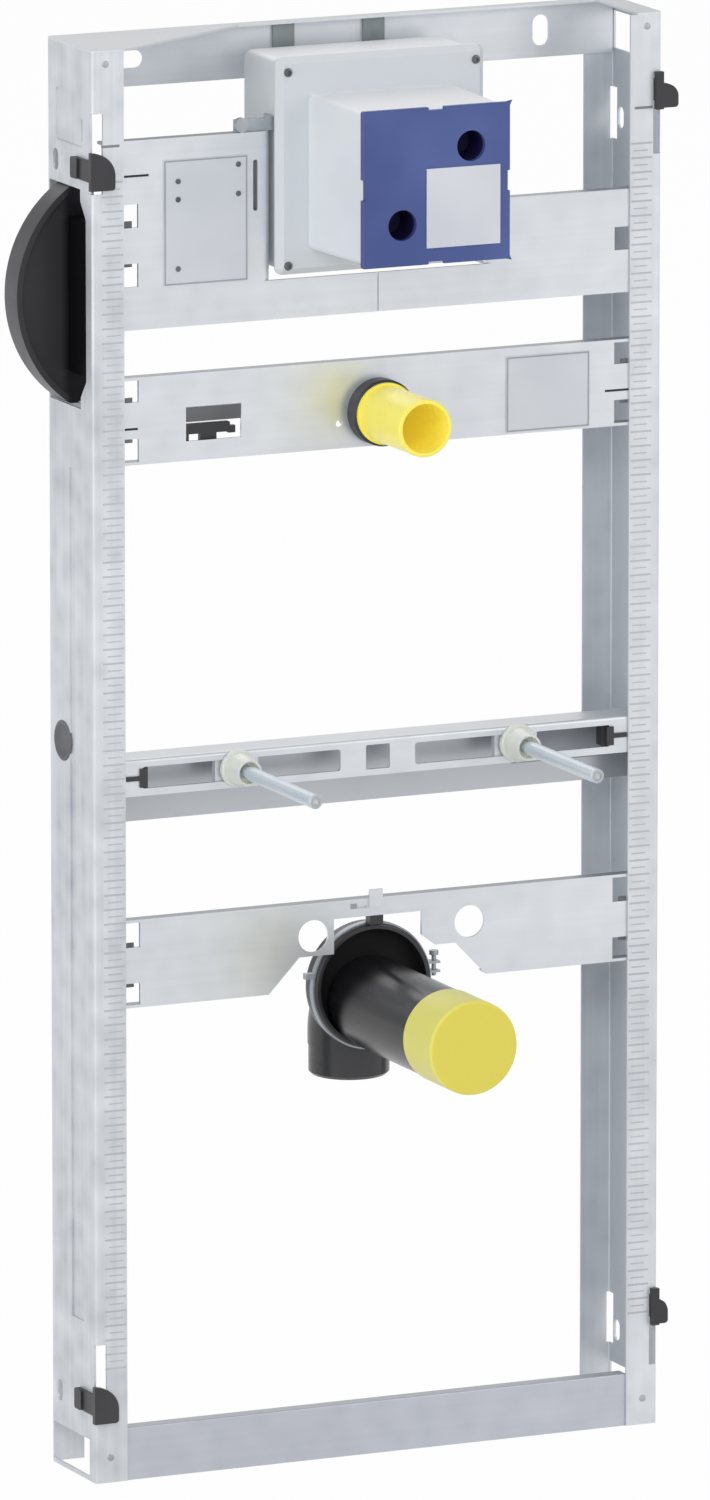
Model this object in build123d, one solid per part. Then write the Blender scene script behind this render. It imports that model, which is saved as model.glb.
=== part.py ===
from build123d import *
import os

os.makedirs("parts", exist_ok=True)

# Overall frame, millimetres, X right, Y back, Z up, origin under the middle of the bottom rail
frame_width = 425.0
frame_depth = 75.0
frame_height = 990.0
sheet = 1.5
plate_sheet = 2.0
post_flange = 23.5
bend_radius = 2.5
rail_height = 38.0
rail_lip = 10.0
seat_gap = 0.3
cut = 1.0

half_width = frame_width / 2
front = -(sheet + rail_lip / 2)
back = front + frame_depth
inner_edge = half_width - post_flange
behind_flange = front + sheet
post_height = frame_height - sheet

# Post openings, heights from the floor or from the top, depths from the front plane
bend_slot_depth, bend_slot_width, bend_slot_edge, bend_slot_narrow = 3.0, 8.0, 1.0, 6.2
bend_slot_low, bend_slot_tall = 42.0, 55.0
bend_slot_drop = 98.0
foot_gap, foot_cut_high, foot_cut_front = 3.0, 29.0, 11.0
head_cut_low, head_cut_tall = 35.0, 26.0
groove_front, groove_wide, groove_deep = 20.0, 20.0, 1.0
groove_low, groove_high = 110.0, 700.0
fixing_hole_y, fixing_hole_z, fixing_hole_radius = 52.0, 509.0, 14.0
oval_y, oval_radius, oval_long = 61.0, 4.5, 6.0
oval_low, oval_drop = 53.0, 82.0
back_slot_tall, back_slot_deep = 36.0, 8.0
pocket_y, pocket_wide, pocket_tall, pocket_drop = 16.0, 44.0, 36.0, 32.0

# Heights of the cross members
carrier_drop, sill_rise, carrier_rise, ear_rise, ear_margin = 192.5, 27.0, 71.5, 129.5, 15.0
carrier_low = frame_height - carrier_drop
carrier_sill = carrier_low + sill_rise
carrier_high = carrier_low + carrier_rise
ear_high = carrier_low + ear_rise
notch_low, notch_tall, notch_pitch = 29.5, 16.0, 40.5
inlet_gap, inlet_tall, inlet_axis_up = 32.5, 60.0, 24.0
inlet_low = carrier_low - inlet_gap - inlet_tall
stud_low, stud_tall, stud_back_drop, stud_axis_up = 476.5, 25.5, 22.5, 13.5
drain_low, drain_tall = 330.0, 61.0
inlet_high = inlet_low + inlet_tall
inlet_axis_z = inlet_low + inlet_axis_up
stud_high = stud_low + stud_tall
stud_back_low = stud_low - stud_back_drop
stud_axis_z = stud_low + stud_axis_up
drain_high = drain_low + drain_tall

# Plate ends: the body stops short of the post, tabs go on behind the flange
end_gap = 11.0
plate_body_half = inner_edge - end_gap
plate_tab_half = half_width - sheet - 7.0
tab_height = 25.0
plate_lip = 9.0
slit, slit_deep = 1.6, 1.0
label_thick = 0.8

# Valve box
box_half_x, box_tall, box_lift = 77.5, 149.0, 3.5
box_low = carrier_sill + box_lift
box_high = box_low + box_tall
box_flange_front, box_flange_thick = front - 5.0, 6.5
box_rear_depth, case_inset = 54.0, 2.5
box_wall = 2.5
tower_half_x, tower_half_z, tower_drop, tower_draft = 53.0, 51.5, 4.5, 2.0
box_centre_z = (box_low + box_high) / 2 - tower_drop
tower_reach = 89.0
tower_front = front - tower_reach
cover_half_x, cover_half_z, cover_thick = 54.7, 53.5, 4.0
finger_hole_radius, finger_hole_offset = 10.5, 25.5
window_gap = 1.0
window_half = box_half_x + window_gap

# Water inlet
collar_radius, collar_length = 23.0, 11.0
plug_radius, plug_bore, plug_reach, plug_floor = 19.75, 17.0, 75.0, 4.0
inlet_body_radius, inlet_body_length = 20.0, 24.0
elbow_radius, elbow_bore, elbow_rise = 10.5, 8.0, 26.0

# Studs: bare thread in the rail, smooth protective tube in front of the sleeve
stud_x, thread_radius, stud_radius, stud_reach, stud_tail = 105.0, 4.0, 5.0, 127.0, 16.0
tip_bore, tip_depth, tube_gap = 2.4, 12.0, 2.0
slot_near, slot_up, slot_tall, slot_corner = 28.0, 5.0, 15.0, 2.0
slot_far = plate_body_half - 2.0
slot_low = stud_low + slot_up
slot_top = slot_low + slot_tall
middle_half = 9.0
sleeve_radius, sleeve_flange, sleeve_length = 13.2, 4.0, 20.0
hub_back, hub_front, hub_recess, recess_depth = 11.5, 9.0, 7.5, 6.0
stud_rail_depth = 28.0
anchor_half, anchor_thick, nut_radius, nut_thick = 16.0, 5.0, 7.5, 6.5
clip_bar, clip_reach, clip_deep, clip_proud = 3.2, 12.0, 10.0, 1.5

# Drain, the pipe sits low in its socket
pipe_radius, leg_radius, pipe_wall = 31.5, 28.0, 3.0
socket_radius, socket_wall, socket_length, socket_set = 43.5, 3.5, 22.0, 8.0
pipe_axis_z, socket_lift, elbow_lift = 316.0, 11.5, 4.0
leg_set, leg_bottom_z, shoulder_z, shoulder_step, turn = 49.0, 259.0, 280.0, 0.6, 32.0
seal_set, seal_thick, pipe_depth = 9.0, 4.0, 18.0
band_thick, band_length, band_set = 1.2, 5.0, 3.0
band_lug, band_lug_thick, band_lug_up = 7.0, 1.6, 11.0
cap_radius, cap_length, cap_reach, cap_wall = 32.5, 44.0, 154.0, 3.0
drain_gap_half, drain_foot_half, drain_step = 33.0, 83.0, 24.0
drain_hole_radius, drain_hole_up, drain_hole_left, drain_hole_right = 11.25, 38.0, 48.5, 69.2

# Side guard, a half-round moulding through the left post's window
guard_radius, guard_centre_in, guard_drop = 90.0, 51.5, 172.0
guard_z = frame_height - guard_drop
guard_front, guard_deep, guard_skin = 39.0, 21.0, 3.0
guard_window_half, guard_window_front, guard_window_back, guard_clear = 75.2, 20.0, 10.0, 1.2
guard_boss_half, guard_boss_front, guard_slope = 53.0, 12.0, 13.0

# Corner latches
latch_half, latch_thick, latch_reach = 13.0, 4.0, 15.5
latch_strip, latch_drop_in, latch_out_top, latch_out_low = 5.5, 8.0, 11.5, 7.0
latch_skin, latch_neck, latch_neck_deep = 2.5, 7.2, 8.0
latch_pad_start, latch_pad_long, latch_pad_thick = 17.0, 11.0, 4.0


def block(x0, x1, y0, y1, z0, z1):
    return Pos((x0 + x1) / 2, (y0 + y1) / 2, (z0 + z1) / 2) * Box(x1 - x0, y1 - y0, z1 - z0)


def rod_y(x, z, y0, y1, radius):
    return Pos(x, (y0 + y1) / 2, z) * Rot(90, 0, 0) * Cylinder(radius, y1 - y0)


def rod_x(y, z, x0, x1, radius):
    return Pos((x0 + x1) / 2, y, z) * Rot(0, 90, 0) * Cylinder(radius, x1 - x0)


# A round-ended slot through X, long in Z
def oval_x(y, z, x0, x1, radius, length):
    slot = rod_x(y, z - length / 2, x0, x1, radius) + rod_x(y, z + length / 2, x0, x1, radius)
    return slot + block(x0, x1, y - radius, y + radius, z - length / 2, z + length / 2)


def rod_z(x, y, z0, z1, radius):
    return Pos(x, y, (z0 + z1) / 2) * Cylinder(radius, z1 - z0)


# A flat plate given by its outline in X and Z, from y0 back to y1
def plate(points, y0, y1):
    face = make_face(Polyline(*[(x, y0, z) for x, z in points], close=True))
    return extrude(face, amount=y1 - y0, dir=(0, 1, 0))


# A ring or pin turned about an axis along Y, given by its outline of radius and depth
def turned_y(x, z, outline):
    face = make_face(Polyline(*[(radius, y, 0) for radius, y in outline], close=True))
    return Pos(x, 0, z) * revolve(face, axis=Axis.Y)


# A slot through Y with round ends, or with the corner radius given
def slot_y(x0, x1, y0, y1, z0, z1, radius=None):
    largest = min(x1 - x0, z1 - z0) / 2 - 0.05
    hole = block(x0, x1, y0, y1, z0, z1)
    return fillet(hole.edges().filter_by(Axis.Y), radius or largest)


def keep(name, shape):
    solids = shape.solids()
    body = solids[0] if len(solids) == 1 else Compound(children=list(solids))
    body.label = name
    export_step(body, "parts/" + name + ".step")


# Posts: channels open to the inside, side is -1 for the left and 1 for the right
def post(side):
    outer = block(-half_width, -inner_edge, front, back, 0, post_height)
    outer = fillet(outer.edges().filter_by(Axis.Z).group_by(Axis.X)[0], bend_radius)
    inner_x0, inner_x1 = -half_width + sheet, -inner_edge + cut
    inner = block(inner_x0, inner_x1, front + sheet, back - sheet, -cut, post_height + cut)
    inner = fillet(inner.edges().filter_by(Axis.Z).group_by(Axis.X)[0], bend_radius - sheet)
    body = outer - inner
    web0, web1 = -half_width - cut, -half_width + sheet + cut
    # pressed groove down the web with its rib on the inside
    groove_y0, groove_y1 = front + groove_front, front + groove_front + groove_wide
    rib_x = -half_width + sheet
    rib_y0, rib_y1 = groove_y0 - sheet, groove_y1 + sheet
    body += block(rib_x, rib_x + groove_deep, rib_y0, rib_y1, groove_low - sheet, groove_high + sheet)
    body -= block(web0, -half_width + groove_deep, groove_y0, groove_y1, groove_low, groove_high)
    # slots where the latches sit, over the left post's bend and beside the right post's bend
    slot_x0, slot_x1 = web0, -half_width + bend_slot_width
    if side > 0:
        slot_x0, slot_x1 = -half_width + bend_slot_edge, -half_width + bend_slot_narrow
    for z0 in (bend_slot_low, frame_height - bend_slot_drop):
        slot_y1 = front + (bend_slot_depth if side < 0 else bend_radius)
        body -= block(slot_x0, slot_x1, front - cut, slot_y1, z0, z0 + bend_slot_tall)
    # bottom cut-out and oval holes in the web
    body -= block(web0, web1, front + foot_cut_front, back - bend_radius, foot_gap, foot_cut_high)
    for z in (oval_low, frame_height - oval_drop):
        body -= oval_x(front + oval_y, z, web0, web1, oval_radius, oval_long)
    if side < 0:
        # round fixing hole, and a window for the half-round guard that is wider over its boss
        body -= rod_x(front + fixing_hole_y, fixing_hole_z, web0, web1, fixing_hole_radius)
        window_y0 = front + guard_window_front
        window_y1 = front + guard_front + guard_deep + guard_clear + guard_window_back
        window_z0, window_z1 = guard_z - guard_window_half, guard_z + guard_window_half
        body -= block(web0, web1, window_y0, window_y1, window_z0, window_z1)
        boss = guard_boss_half + 2 * guard_clear
        boss_y0 = front + guard_boss_front - guard_clear
        wide = boss + guard_slope
        outline = [
            (boss_y0, guard_z - boss),
            (window_y0 + cut, guard_z - wide),
            (window_y0 + cut, guard_z + wide),
            (boss_y0, guard_z + boss),
        ]
        body -= extrude(Plane.YZ.offset(web0) * Polygon(*outline, align=None), amount=web1 - web0)
        # pressed pocket near the top with a bent tongue at its front edge
        top, low = frame_height - pocket_drop, frame_height - pocket_drop - pocket_tall
        pocket_y0, pocket_y1 = front + pocket_y, front + pocket_y + pocket_wide
        rib_y0, rib_y1 = pocket_y0 - sheet, pocket_y1 + sheet
        body += block(rib_x, rib_x + groove_deep, rib_y0, rib_y1, low - sheet, top + sheet)
        pocket = block(web0, -half_width + groove_deep, pocket_y0, pocket_y1, low, top)
        body -= fillet(pocket.edges().filter_by(Axis.X), 3.0)
        body -= block(web0, web1 + cut, pocket_y0 + 1, pocket_y0 + 3.5, low + 4, low + 19)
    else:
        head_z = frame_height - head_cut_low
        head_y0, head_y1 = front + foot_cut_front, back - bend_radius
        body -= block(web0, web1, head_y0, head_y1, head_z, head_z + head_cut_tall)
        for z0 in (bend_slot_low, frame_height - bend_slot_drop):
            body -= block(web0, web1 + cut, back - back_slot_deep, back + cut, z0, z0 + back_slot_tall)
        body = mirror(body, Plane.YZ)
    return body


keep("left_post", post(-1))
keep("right_post", post(1))

# Top rail: back wall and top flange, with a corner gusset at the left
wall_y1 = back - sheet
wall_y0 = wall_y1 - sheet
rail_end = half_width - bend_radius - seat_gap
top_z0 = frame_height - rail_height
gusset_long, head_tab = 114.0, 5.0
lip_y = back - rail_lip
flange_line = [
    (-half_width, front),
    (-inner_edge, front),
    (-inner_edge + gusset_long, lip_y),
    (inner_edge + head_tab, lip_y),
    (inner_edge + head_tab, front),
    (half_width, front),
    (half_width, back),
    (-half_width, back),
]
top_face = make_face(Polyline(*[(x, y, post_height) for x, y in flange_line], close=True))
top_rail = extrude(top_face, amount=sheet, dir=(0, 0, 1))
for end in (0, -1):
    top_rail = fillet(top_rail.edges().filter_by(Axis.Z).group_by(Axis.X)[end], bend_radius - 0.2)
top_rail += block(-rail_end, rail_end, wall_y0, wall_y1, top_z0, post_height)
for side in (-1, 1):
    x0, x1 = sorted((side * rail_end, side * (inner_edge + cut)))
    top_rail += block(x0, x1, behind_flange, behind_flange + sheet, top_z0, post_height)
hang_x, hang_long, hang_tall, key_x, key_tall = 17.0, 29.0, 12.0, 28.0, 21.5
hang_z = frame_height - 25.5
key_z = frame_height - 30.0
hang_x0, key_x1 = -inner_edge + hang_x, inner_edge - key_x
through_y0, through_y1 = wall_y0 - cut, wall_y1 + cut
top_rail -= slot_y(hang_x0, hang_x0 + hang_long, through_y0, through_y1, hang_z, hang_z + hang_tall)
top_rail -= slot_y(key_x1 - hang_tall, key_x1, through_y0, through_y1, key_z, key_z + key_tall)
keep("top_rail", top_rail)

# Bottom rail: front wall between a turned-in top lip and the lip that it stands on
bottom_high = rail_height - 1.0
bottom_rail = block(-rail_end, rail_end, behind_flange, behind_flange + sheet, 0, bottom_high)
for z1 in (sheet, bottom_high):
    lip_y1 = behind_flange + rail_lip
    bottom_rail += block(-inner_edge, inner_edge, behind_flange, lip_y1, z1 - sheet, z1)
bends = bottom_rail.edges().filter_by(Axis.X).group_by(Axis.Y)[0]
bottom_rail = fillet(bends.group_by(Axis.Z)[-1].filter_by(lambda e: e.length > 1.8 * inner_edge), 1.2)
keep("bottom_rail", bottom_rail)

# Box carrier, two plates that meet on the centre line
carrier_y0 = behind_flange
carrier_y1 = carrier_y0 + plate_sheet
hole_y0, hole_y1 = carrier_y0 - cut, carrier_y1 + cut
slit_y1 = carrier_y0 + slit_deep
turn_back, ear_bend = 26.0, 8.0
ear_slot_in, ear_slot_wide, ear_slot_drop, ear_slot_tall = 11.2, 3.3, 19.0, 35.0
ear_plate_gap, ear_plate_side = 4.3, 18.5
tongue_half, tongue_edge = 35.0, 4.0
ear_slit_up, ear_slit_in = 104.5, 19.0


def carrier(side):
    top = ear_high if side < 0 else carrier_high
    outline = [
        (-plate_tab_half, carrier_low),
        (-seat_gap, carrier_low),
        (-seat_gap, carrier_sill),
        (-window_half, carrier_sill),
        (-window_half, top),
        (-plate_tab_half, top),
    ]
    body = plate(outline, carrier_y0, carrier_y1)
    # edge rolled back beside the valve box
    bend_x0 = -window_half - ear_bend
    body -= block(bend_x0, -window_half + cut, hole_y0, hole_y1, carrier_sill, top + cut)
    roll_x0, roll_y1 = bend_x0 - cut, carrier_y0 + turn_back
    roll = block(roll_x0, -window_half, carrier_y0, roll_y1, carrier_sill, top)
    roll = fillet(roll.edges().filter_by(Axis.Z).group_by(Axis.Y)[0].sort_by(Axis.X)[-1], ear_bend)
    hollow_x0, hollow_x1 = roll_x0 - cut, -window_half - plate_sheet
    hollow = block(hollow_x0, hollow_x1, carrier_y1, roll_y1 + cut, carrier_sill - cut, top + cut)
    inner_roll = ear_bend - plate_sheet
    hollow = fillet(hollow.edges().filter_by(Axis.Z).group_by(Axis.Y)[0].sort_by(Axis.X)[-1], inner_roll)
    body += roll - hollow
    # lips turned back along the bottom and the top edge
    for x1, z1 in ((-seat_gap, carrier_low + plate_sheet), (roll_x0, top)):
        lip_y1 = carrier_y0 + plate_lip
        body += block(-plate_tab_half, x1, carrier_y0, lip_y1, z1 - plate_sheet, z1)
    # notches at the post end
    for z0 in (carrier_low + notch_low, carrier_low + notch_low + notch_pitch):
        if z0 + notch_tall < top:
            body -= block(-plate_tab_half - cut, -plate_body_half, hole_y0, hole_y1, z0, z0 + notch_tall)
    if side < 0:
        slit_z = carrier_low + ear_slit_up
        body -= block(-inner_edge - cut, -inner_edge + ear_slit_in, hole_y0, slit_y1, slit_z, slit_z + slit)
        slot_x0 = -window_half - ear_slot_in - ear_slot_wide
        slot_z1 = ear_high - ear_slot_drop
        body -= slot_y(slot_x0, slot_x0 + ear_slot_wide, hole_y0, hole_y1, slot_z1 - ear_slot_tall, slot_z1)
        # tongue that overlaps behind the other plate
        low, high = carrier_low + tongue_edge, carrier_sill - tongue_edge
        body += block(-tongue_half, tongue_half, carrier_y1, carrier_y1 + plate_sheet, low, high)
        return body
    return mirror(body, Plane.YZ)


keep("carrier_left", carrier(-1))
keep("carrier_right", carrier(1))
ear_x1 = -window_half - ear_slot_in - ear_slot_wide - ear_plate_gap
ear_x0 = -plate_body_half + ear_plate_side
ear_z0, ear_z1 = carrier_sill + 1.5, ear_high - ear_margin
keep("ear_plate", block(ear_x0, ear_x1, carrier_y0 - label_thick, carrier_y0, ear_z0, ear_z1))

# Bracket that ties the ear to the side of the valve box
case_half = box_half_x - case_inset
tie_up, knuckle_radius, tie_deep, tie_reach = 9.0, 5.0, 16.0, 27.5
tie_z0, tie_z1 = ear_high, ear_high + tie_up
tie_x0 = -window_half - tie_reach
tie = block(tie_x0, -case_half, carrier_y0 + 2, carrier_y0 + 2 + plate_sheet, tie_z0, tie_z1)
tie += rod_y(tie_x0 + knuckle_radius, tie_z0 + knuckle_radius, carrier_y0, carrier_y0 + 4, knuckle_radius)
tie_y0 = carrier_y0 + 2
tie += block(-case_half - plate_sheet, -case_half, tie_y0, tie_y0 + tie_deep, tie_z0, tie_z1)
keep("box_tie", tie)


# Cross plate: lips along both edges run on to the posts, windows above and below the middle tab
def cross_plate(low, high, tab_z, slits=()):
    body = block(-plate_tab_half, plate_tab_half, carrier_y0, carrier_y1, low, high)
    for z0 in (low, high - plate_sheet):
        lip_y1 = carrier_y0 + plate_lip
        body += block(-plate_tab_half, plate_tab_half, carrier_y0, lip_y1, z0, z0 + plate_sheet)
    tab_z0, tab_z1 = tab_z - tab_height / 2, tab_z + tab_height / 2
    for side in (-1, 1):
        x0, x1 = sorted((side * plate_body_half, side * (plate_tab_half + cut)))
        body -= block(x0, x1, hole_y0, hole_y1, low + plate_sheet, tab_z0)
        body -= block(x0, x1, hole_y0, hole_y1, tab_z1, high - plate_sheet)
    for side, inwards in slits:
        x0, x1 = sorted((side * (inner_edge + cut), side * (plate_body_half - inwards)))
        body -= block(x0, x1, hole_y0, slit_y1, tab_z0 + slit_up, tab_z0 + slit_up + slit)
    return body


# Inlet plate with a clip window and inlet hole
slit_up, slit_left, slit_right = 6.0, -0.5, 7.0
inlet_tab_up = 30.5
window_in, window_wide, window_up, window_tall = 35.0, 41.0, 13.5, 23.5
drip_x, drip_up, drip_radius = -29.0, 17.0, 2.5
label_in, label_wide, label_drop = 82.0, 63.0, 6.0
label_x0 = plate_body_half - label_in
inlet_slits = ((-1, slit_left), (1, slit_right))
inlet_plate = cross_plate(inlet_low, inlet_high, inlet_low + inlet_tab_up, inlet_slits)
window_x0 = -plate_body_half + window_in
window_x1 = window_x0 + window_wide
window_z0 = inlet_low + window_up
window_z1 = window_z0 + window_tall
inlet_plate -= block(window_x0, window_x1, hole_y0, hole_y1, window_z0, window_z1)
inlet_plate -= rod_y(drip_x, inlet_low + drip_up, hole_y0, hole_y1, drip_radius)
inlet_plate -= rod_y(0, inlet_axis_z, hole_y0, hole_y1, inlet_body_radius + 0.2)
# tongue cut from the window and bent back and down
tongue_run, tongue_fall = 10.0, 11.0
tongue_line = [
    (window_x0, carrier_y0, window_z1),
    (window_x0, carrier_y0 + tongue_run, window_z1 - tongue_fall),
    (window_x0, carrier_y0 + tongue_run, window_z1 - tongue_fall + 2 * plate_sheet),
    (window_x0, carrier_y1, window_z1 + plate_sheet),
    (window_x0, carrier_y0, window_z1 + plate_sheet),
]
inlet_plate += extrude(make_face(Polyline(*tongue_line, close=True)), amount=window_wide, dir=(1, 0, 0))
keep("inlet_plate", inlet_plate)
label_y0 = carrier_y0 - label_thick
label_z0, label_z1 = inlet_low + 1.5, inlet_high - label_drop
keep("inlet_label_plate", block(label_x0, label_x0 + label_wide, label_y0, carrier_y0, label_z0, label_z1))

# Clip in the lower half of the window: upright on the plate's back, arm across it and a tooth
clip_edge, clip_deep_y, arm_tall, arm_up, tooth_wide, tooth_tall = 4.0, 5.0, 7.0, 4.0, 12.0, 5.0
clip_y0, clip_y1 = carrier_y1, carrier_y1 + clip_deep_y
arm_z0 = window_z0 + arm_up
arm_z1 = arm_z0 + arm_tall
clip = block(window_x0 - clip_edge, window_x0 + 3, clip_y0, clip_y1, window_z0 - clip_edge, arm_z1)
clip += block(window_x0, window_x1 - 7, clip_y0 + 1, clip_y1, arm_z0, arm_z0 + arm_tall)
clip += block(window_x1 - 8, window_x1 - 3, clip_y0 + 1, clip_y1, arm_z0 - 1, arm_z0 + arm_tall - 3)
tooth_x = window_x0 + 12
clip += block(tooth_x, tooth_x + tooth_wide, clip_y0 + 1, clip_y1, arm_z0 - tooth_tall, arm_z0 + 1)
clip = fillet(clip.edges().filter_by(Axis.Y).group_by(Axis.Z)[-1], 1.0)
keep("inlet_clip", clip)

# Inlet fitting behind the plate, collar in front, open protective plug
collar_y1 = carrier_y0 - 1.0
collar_y0 = collar_y1 - collar_length
seat = 3.0
body_y1 = carrier_y1 + inlet_body_length
inlet_body = turned_y(0, inlet_axis_z, [
    (0, collar_y1),
    (inlet_body_radius, collar_y1),
    (inlet_body_radius, carrier_y1),
    (inlet_body_radius + 1.5, carrier_y1),
    (inlet_body_radius + 1.5, carrier_y1 + 5),
    (inlet_body_radius, carrier_y1 + 5),
    (inlet_body_radius, body_y1),
    (0, body_y1),
])
elbow_y = body_y1 - elbow_radius - 2
inlet_body += rod_z(0, elbow_y, inlet_axis_z, inlet_axis_z + elbow_rise, elbow_radius)
inlet_body -= rod_z(0, elbow_y, inlet_axis_z + elbow_rise - 20, inlet_axis_z + elbow_rise + cut, elbow_bore)
keep("inlet_body", inlet_body)
collar = turned_y(0, inlet_axis_z, [
    (0, collar_y1 - seat),
    (plug_radius, collar_y1 - seat),
    (plug_radius, collar_y0),
    (collar_radius - 1.5, collar_y0),
    (collar_radius, collar_y0 + 1.5),
    (collar_radius, carrier_y0),
    (inlet_body_radius, carrier_y0),
    (inlet_body_radius, collar_y1),
    (0, collar_y1),
])
keep("inlet_collar", collar)
plug_y0, plug_y1 = front - plug_reach, collar_y1 - seat
rib, rib_wide = 1.6, 2.5
plug = turned_y(0, inlet_axis_z, [
    (0, plug_y1),
    (plug_radius, plug_y1),
    (plug_radius, collar_y0),
    (plug_radius + rib, collar_y0),
    (plug_radius + rib, collar_y0 - rib_wide),
    (plug_radius, collar_y0 - rib_wide),
    (plug_radius, plug_y0 + 0.6),
    (plug_radius - 0.6, plug_y0),
    (plug_bore, plug_y0),
    (plug_bore, plug_y1 - plug_floor),
    (0, plug_y1 - plug_floor),
])
keep("inlet_plug", plug)

# Stud rail: slotted front wall, top and a deeper back wall
rail_y0 = behind_flange
rail_y1 = rail_y0 + stud_rail_depth
wall_in = rail_y0 + plate_sheet
stud_rail = block(-plate_tab_half, plate_tab_half, rail_y0, rail_y1, stud_low, stud_high)
hollow_y1, hollow_z1 = rail_y1 - plate_sheet, stud_high - plate_sheet
stud_rail += block(-plate_tab_half, plate_tab_half, hollow_y1, rail_y1, stud_back_low, stud_high)
stud_rail = fillet(stud_rail.edges().filter_by(Axis.X).group_by(Axis.Z)[-1], 1.1 * plate_sheet)
stud_rail -= block(-half_width, half_width, wall_in, hollow_y1, stud_back_low - cut, hollow_z1)
for side in (-1, 1):
    x0, x1 = sorted((side * slot_near, side * slot_far))
    stud_rail -= slot_y(x0, x1, rail_y0 - cut, wall_in + cut, slot_low, slot_top, slot_corner)
middle_low, middle_top = slot_low - 0.8, slot_top + 1.2
stud_rail -= slot_y(-middle_half, middle_half, rail_y0 - cut, wall_in + cut, middle_low, middle_top, 1.0)
keep("stud_rail", stud_rail)

# Studs with sleeves in front and sliding anchors behind the slotted wall
sleeve_y0 = rail_y0 - sleeve_length
tail_y = wall_in + stud_tail
tip_y = front - stud_reach
for side, word in ((-1, "left"), (1, "right")):
    x = side * stud_x
    stud = turned_y(x, stud_axis_z, [
        (0, tail_y),
        (thread_radius, tail_y),
        (thread_radius, sleeve_y0 - tube_gap),
        (stud_radius, sleeve_y0 - tube_gap),
        (stud_radius, tip_y + 1.0),
        (stud_radius - 1.0, tip_y),
        (tip_bore, tip_y),
        (tip_bore, tip_y + tip_depth),
        (0, tip_y + tip_depth),
    ])
    keep("stud_" + word, stud)
    sleeve = turned_y(x, stud_axis_z, [
        (thread_radius, rail_y0),
        (sleeve_radius, rail_y0),
        (sleeve_radius, rail_y0 - sleeve_flange + 1.0),
        (sleeve_radius - 1.0, rail_y0 - sleeve_flange),
        (hub_back, rail_y0 - sleeve_flange),
        (hub_front, sleeve_y0),
        (hub_recess, sleeve_y0),
        (hub_recess, sleeve_y0 + recess_depth),
        (thread_radius, sleeve_y0 + recess_depth),
    ])
    keep("stud_sleeve_" + word, sleeve)
    anchor_z0, anchor_z1 = stud_low + 1, stud_high - plate_sheet - 1
    anchor_y1 = wall_in + anchor_thick
    anchor = block(x - anchor_half, x + anchor_half, wall_in, anchor_y1, anchor_z0, anchor_z1)
    nut = extrude(Plane.XZ * RegularPolygon(nut_radius, 6), amount=-nut_thick)
    anchor += Pos(x, anchor_y1, stud_axis_z) * nut
    anchor -= rod_y(x, stud_axis_z, rail_y0, tail_y + cut, thread_radius)
    keep("stud_anchor_" + word, anchor)
    # end clip: level bar over the post gap, upright bar at the slot end, body behind
    bar_z = (slot_low + slot_top) / 2
    x0, x1 = sorted((side * (slot_far - 1), side * (slot_far + clip_reach)))
    clip_face = rail_y0 - clip_proud
    end_clip = block(x0, x1, clip_face, rail_y0, bar_z - clip_bar / 2, bar_z + clip_bar / 2)
    x0, x1 = sorted((side * (slot_far - 3.3), side * (slot_far + 2)))
    end_clip += block(x0, x1, clip_face, rail_y0, slot_low + 1, slot_top - 1)
    neck0, neck1 = sorted((side * (slot_far - 3.3), side * (slot_far - 0.2)))
    end_clip += block(neck0, neck1, clip_face, wall_in + cut, slot_low + 3, slot_top - 3)
    x0, x1 = sorted((side * (slot_far - 5), side * (slot_far + clip_reach)))
    end_clip += block(x0, x1, wall_in, wall_in + clip_deep, slot_low, slot_top - 0.5)
    keep("rail_clip_" + word, end_clip)

# Drain plate: notched lower edge, bridge over the bend and two round holes
drain_tab_up, bridge, notch_drop, notch_run = 29.5, 12.5, 16.5, 10.5
drain_plate = cross_plate(drain_low, drain_high, drain_low + drain_tab_up)
bridge_z, step_z = drain_high - bridge, drain_low + drain_step
ramp_x = drain_foot_half - drain_step
gap_line = [
    (-drain_foot_half, drain_low - cut),
    (-ramp_x, step_z),
    (-drain_gap_half, step_z),
    (-drain_gap_half, bridge_z),
    (drain_gap_half, bridge_z),
    (drain_gap_half, bridge_z - notch_drop),
    (drain_gap_half + notch_run, step_z),
    (ramp_x, step_z),
    (drain_foot_half, drain_low - cut),
]
drain_plate -= plate(gap_line, hole_y0, carrier_y0 + plate_lip + cut)
for x in (-drain_hole_left, drain_hole_right):
    drain_plate -= rod_y(x, drain_low + drain_hole_up, hole_y0, hole_y1, drain_hole_radius)
slot_drop, slot_x0, slot_x1, stop_half, stop_up = 6.5, -20.5, -8.5, 5.0, 6.0
stop_z0, stop_z1 = drain_high - slot_drop, drain_high + stop_up
drain_plate -= block(slot_x0, slot_x1, hole_y0, slit_y1, stop_z0, stop_z0 + slit)
drain_plate += block(-stop_half - 2, stop_half - 2, carrier_y0 - 1.5, carrier_y0, stop_z0, stop_z1)
keep("drain_plate", drain_plate)

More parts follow.
